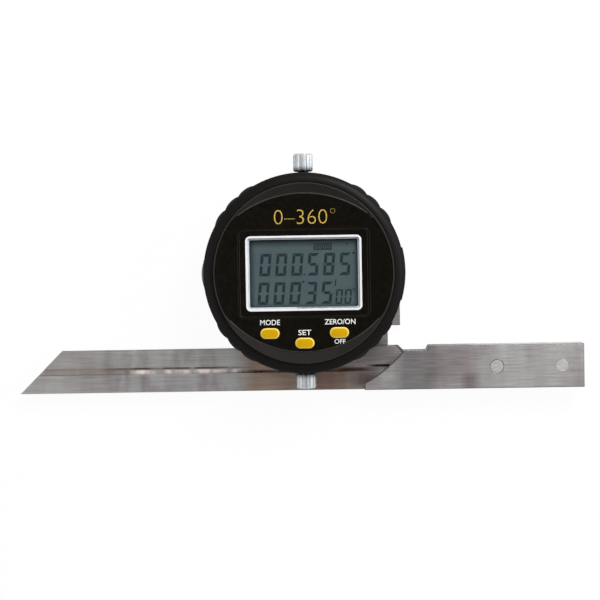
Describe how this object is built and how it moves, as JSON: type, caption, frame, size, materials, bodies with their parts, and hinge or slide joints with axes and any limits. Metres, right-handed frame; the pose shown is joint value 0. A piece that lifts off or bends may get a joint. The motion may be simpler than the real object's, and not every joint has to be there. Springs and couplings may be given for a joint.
{
  "type": "digital bevel protractor",
  "caption": "Digital bevel protractor: a round display head turns on a steel stock and clamps a grooved blade with slanted ends, set by two radial knobs.",
  "frame": {"origin": "pivot axis of the head on the back face of the stock plate", "axes": "+X along the stock towards its free end, +Y away from the working edges, +Z out of the display"},
  "size_m": [0.2018, 0.0843, 0.0275],
  "materials": {
    "ground_steel": "ground along its length",
    "pin_steel": "turned",
    "blackened_steel": "blackened",
    "screw_steel": "zinc plated",
    "bronze": "turned",
    "board_laminate": "solder mask",
    "black_anodised": "black anodised",
    "black_case": "moulded, satin",
    "grey_bezel": "moulded, fine texture",
    "black_panel": "polished",
    "white_frame": "moulded",
    "clear_lens": "clear",
    "display_glass": "satin polariser",
    "black_rubber": "moulded",
    "yellow_key": "moulded, satin",
    "chrome": "plated",
    "cell_steel": "plated",
    "grey_cover": "moulded",
    "black_insulator": "moulded"
  },
  "bodies": {
    "stock": {"stock_plate": "ground_steel", "stock_block": "ground_steel", "stock_pins": "pin_steel", "pivot_shaft": "pin_steel", "hub_screws": "screw_steel", "friction_washer": "bronze", "shaft_nut": "pin_steel", "encoder_disc": "board_laminate"},
    "head": {"turret_plate": "blackened_steel", "bearing_bush": "bronze", "turret_screws": "screw_steel", "base_housing": "black_anodised", "case_screws": "screw_steel", "grip_case": "black_case", "seal_ring": "black_rubber", "bezel": "grey_bezel", "front_panel": "black_panel", "display_frame": "white_frame", "display_lens": "clear_lens", "display_module": "display_glass", "contact_strips": "black_rubber", "keypad_mat": "black_rubber", "circuit_board": "board_laminate", "sensor_board": "board_laminate", "board_screws": "screw_steel", "pin_header": "black_insulator", "brake_shoe": "bronze", "brake_rod": "pin_steel", "clamp_claw": "pin_steel", "battery_contact": "bronze", "data_socket": "black_insulator"},
    "blade": {"blade": "ground_steel"},
    "mode_key": {"mode_button": "yellow_key"},
    "set_key": {"set_button": "yellow_key"},
    "zero_key": {"zero_button": "yellow_key"},
    "rotation_lock": {"lock_knob": "chrome"},
    "blade_clamp": {"blade_clamp_knob": "chrome"},
    "battery_drawer": {"battery_tray": "black_case", "battery_cell": "cell_steel"},
    "port_cover": {"data_port_cover": "grey_cover"}
  },
  "joints": [
    {"name": "head_turn", "type": "hinge", "parent": "stock", "child": "head", "pos_m": [0, 0, 0.006], "axis": [0, 0, 1], "range_deg": [-200, 110]},
    {"name": "blade_slide", "type": "slide", "parent": "head", "child": "blade", "axis": [-1, 0, 0], "range_m": [-0.01, 0.035]},
    {"name": "mode_press", "type": "slide", "parent": "head", "child": "mode_key", "axis": [0, 0, -1], "range_m": [0, 0.0006], "stiffness_N_per_m": 800},
    {"name": "set_press", "type": "slide", "parent": "head", "child": "set_key", "axis": [0, 0, -1], "range_m": [0, 0.0006], "stiffness_N_per_m": 800},
    {"name": "zero_press", "type": "slide", "parent": "head", "child": "zero_key", "axis": [0, 0, -1], "range_m": [0, 0.0006], "stiffness_N_per_m": 800},
    {"name": "lock_turn", "type": "hinge", "parent": "head", "child": "rotation_lock", "pos_m": [0, 0.039, 0.01], "axis": [0, 1, 0], "range_deg": [0, 270]},
    {"name": "clamp_turn", "type": "hinge", "parent": "head", "child": "blade_clamp", "pos_m": [0, -0.0385, 0.01], "axis": [0, -1, 0], "range_deg": [0, 270]},
    {"name": "drawer_slide", "type": "slide", "parent": "head", "child": "battery_drawer", "axis": [1, 0, 0], "range_m": [0, 0.024]},
    {"name": "cover_pull", "type": "slide", "parent": "head", "child": "port_cover", "axis": [-1, 0, 0], "range_m": [0, 0.006]}
  ]
}
